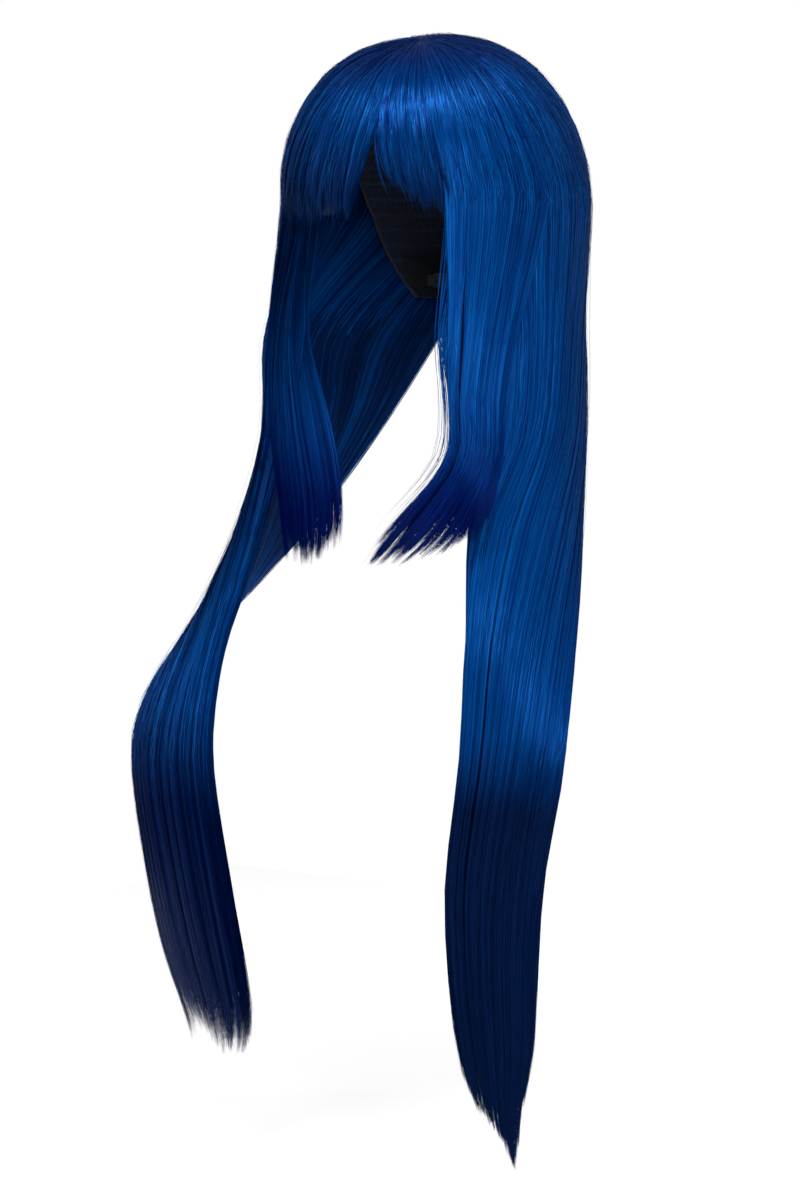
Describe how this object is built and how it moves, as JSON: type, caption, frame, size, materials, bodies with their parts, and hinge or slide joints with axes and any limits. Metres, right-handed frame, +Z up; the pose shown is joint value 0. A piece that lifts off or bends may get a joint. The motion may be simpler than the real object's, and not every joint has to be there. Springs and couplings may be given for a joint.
{
  "type": "costume wig",
  "caption": "Long straight costume wig with a full fringe, locks over both shoulders, and an elastic net cap that adjusts at the nape.",
  "frame": {"origin": "on the mid-plane of the head opening at the wearer's eye level, 5 mm in front of the middle of the head form", "axes": "+Z up, the face looks towards -Y, the wearer's left is +X"},
  "size_m": [0.3328, 0.2731, 0.781],
  "materials": {
    "hair": "silky synthetic fibre, cobalt blue, fine streaks",
    "hair_inner": "synthetic fibre, deep blue under-layer",
    "cap_net": "fine stretch net, black",
    "skin_patch": "skin-like polyurethane film, matt",
    "elastic": "ribbed black elastic",
    "ribbon": "woven black ribbon",
    "velvet": "short-pile black velvet",
    "weft_track": "sewn weft thread over blue fibre",
    "thread": "black sewing thread",
    "stay_steel": "thin bendable steel",
    "hook_plastic": "moulded black nylon",
    "label": "blank woven label"
  },
  "bodies": {
    "cap": {"crown_hair": "hair", "nape_hair": "hair_inner", "side_hair_left": "hair", "side_hair_right": "hair", "back_hair_left": "hair", "back_hair_right": "hair", "cap_net": "cap_net", "crown_patch": "skin_patch", "edge_binding": "elastic", "front_ribbon": "ribbon", "back_ribbon": "ribbon", "side_ribbon_left": "ribbon", "side_ribbon_right": "ribbon", "diagonal_ribbon_left": "ribbon", "diagonal_ribbon_right": "ribbon", "strap_sleeve_left": "ribbon", "strap_sleeve_right": "ribbon", "forehead_band": "velvet", "nape_lining": "velvet", "ear_tab_left": "velvet", "ear_tab_right": "velvet", "weft_rows_left": "weft_track", "weft_rows_right": "weft_track", "crown_weft_rings": "weft_track", "fringe_track": "weft_track", "hook_loops_left": "thread", "hook_loops_right": "thread", "ear_stay_left": "stay_steel", "ear_stay_right": "stay_steel", "size_label": "label"},
    "fringe": {"fringe_hair_left": "hair", "fringe_hair_right": "hair"},
    "left_lock": {"long_lock_left": "hair", "face_layer_left": "hair"},
    "left_strap": {"adjuster_strap_left": "elastic", "strap_hook_left": "hook_plastic"},
    "right_lock": {"long_lock_right": "hair", "face_layer_right": "hair"},
    "right_strap": {"adjuster_strap_right": "elastic", "strap_hook_right": "hook_plastic"}
  },
  "joints": [
    {"name": "fringe_lift", "type": "hinge", "parent": "cap", "child": "fringe", "pos_m": [0, -0.0923, 0.057], "axis": [-1, 0, 0], "range_deg": [0, 30]},
    {"name": "left_lock_swing", "type": "hinge", "parent": "cap", "child": "left_lock", "pos_m": [0.1088, -0.05, -0.084], "axis": [0, -1, 0], "range_deg": [-4, 25]},
    {"name": "right_lock_swing", "type": "hinge", "parent": "cap", "child": "right_lock", "pos_m": [-0.1108, -0.05, -0.084], "axis": [0, 1, 0], "range_deg": [-4, 25]},
    {"name": "left_strap_tighten", "type": "hinge", "parent": "cap", "child": "left_strap", "pos_m": [0, 0.036, -0.046], "axis": [0, 0, 1], "range_deg": [0, 13]},
    {"name": "right_strap_tighten", "type": "hinge", "parent": "cap", "child": "right_strap", "pos_m": [0, 0.036, -0.046], "axis": [0, 0, -1], "range_deg": [0, 13]}
  ]
}
